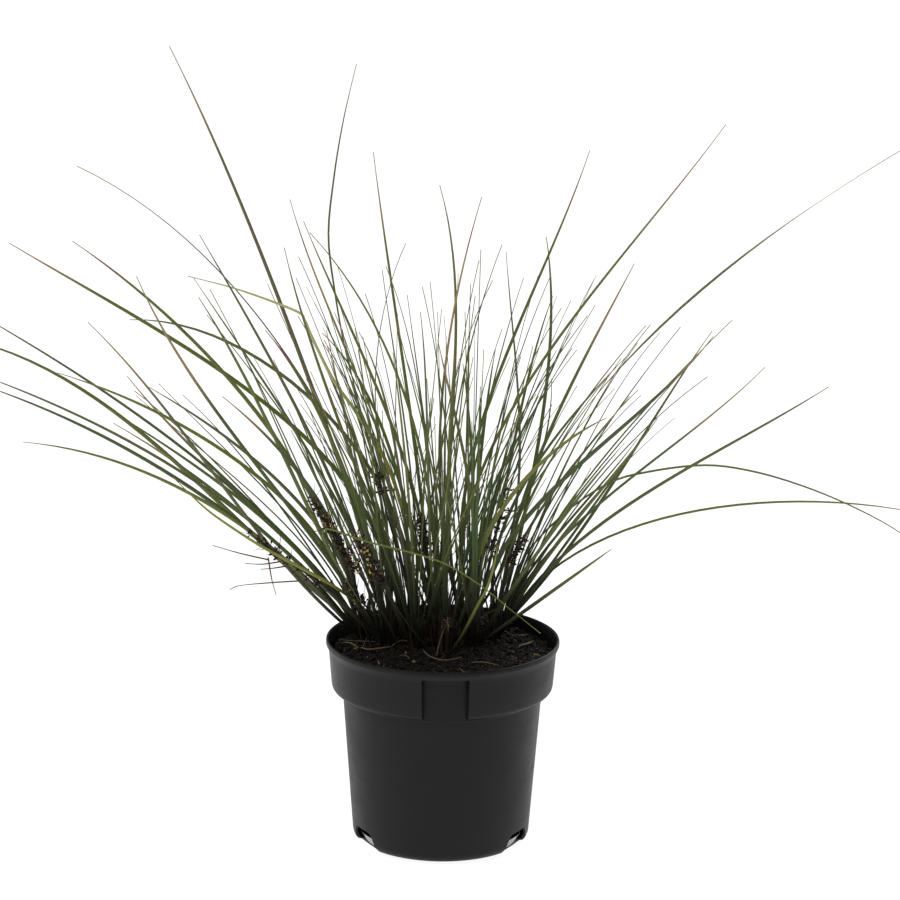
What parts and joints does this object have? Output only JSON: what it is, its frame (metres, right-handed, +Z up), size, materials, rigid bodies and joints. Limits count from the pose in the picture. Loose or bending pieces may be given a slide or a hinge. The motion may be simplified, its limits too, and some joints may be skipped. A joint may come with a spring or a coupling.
{
  "type": "potted lomandra plant",
  "caption": "Grass-like tussock of long narrow arching leaves with short flower spikes, growing in bark mix in a round tapered nursery pot with a banded rim.",
  "frame": {"origin": "centre of the pot's flat underside", "axes": "+Z up the pot's axis, +X along the plant's longest spread, -Y the front of the pot with its label recess"},
  "size_m": [0.5804, 0.3497, 0.475],
  "materials": {
    "pot_plastic": "charcoal recycled plastic with a soft satin sheen",
    "bark_mix": "dark composted bark chips, matte",
    "leaf": "tough olive green blades, finely veined, low sheen; leather stands in for leaf tissue",
    "flower_spike": "dark brown stalks and bracts with small straw-yellow flowers",
    "dry_leaf": "dry straw-brown leaf litter, matte"
  },
  "bodies": {
    "root": {"pot": "pot_plastic", "potting_mix": "bark_mix", "leaf_tuft_01": "leaf", "leaf_tuft_02": "leaf", "leaf_tuft_03": "leaf", "leaf_tuft_04": "leaf", "leaf_tuft_05": "leaf", "leaf_tuft_06": "leaf", "leaf_tuft_07": "leaf", "leaf_tuft_08": "leaf", "leaf_tuft_09": "leaf", "leaf_tuft_10": "leaf", "leaf_tuft_11": "leaf", "leaf_tuft_12": "leaf", "leaf_tuft_13": "leaf", "leaf_tuft_14": "leaf", "leaf_tuft_15": "leaf", "leaf_tuft_16": "leaf", "leaf_tuft_17": "leaf", "leaf_tuft_18": "leaf", "leaf_tuft_19": "leaf", "flower_spike_1": "flower_spike", "flower_spike_2": "flower_spike", "flower_spike_3": "flower_spike", "flower_spike_4": "flower_spike", "flower_spike_5": "flower_spike", "flower_spike_6": "flower_spike", "flower_spike_7": "flower_spike", "flower_spike_8": "flower_spike", "dry_leaf_1": "dry_leaf", "dry_leaf_2": "dry_leaf", "dry_leaf_3": "dry_leaf", "dry_leaf_4": "dry_leaf", "dry_leaf_5": "dry_leaf", "dry_leaf_6": "dry_leaf"}
  },
  "joints": []
}
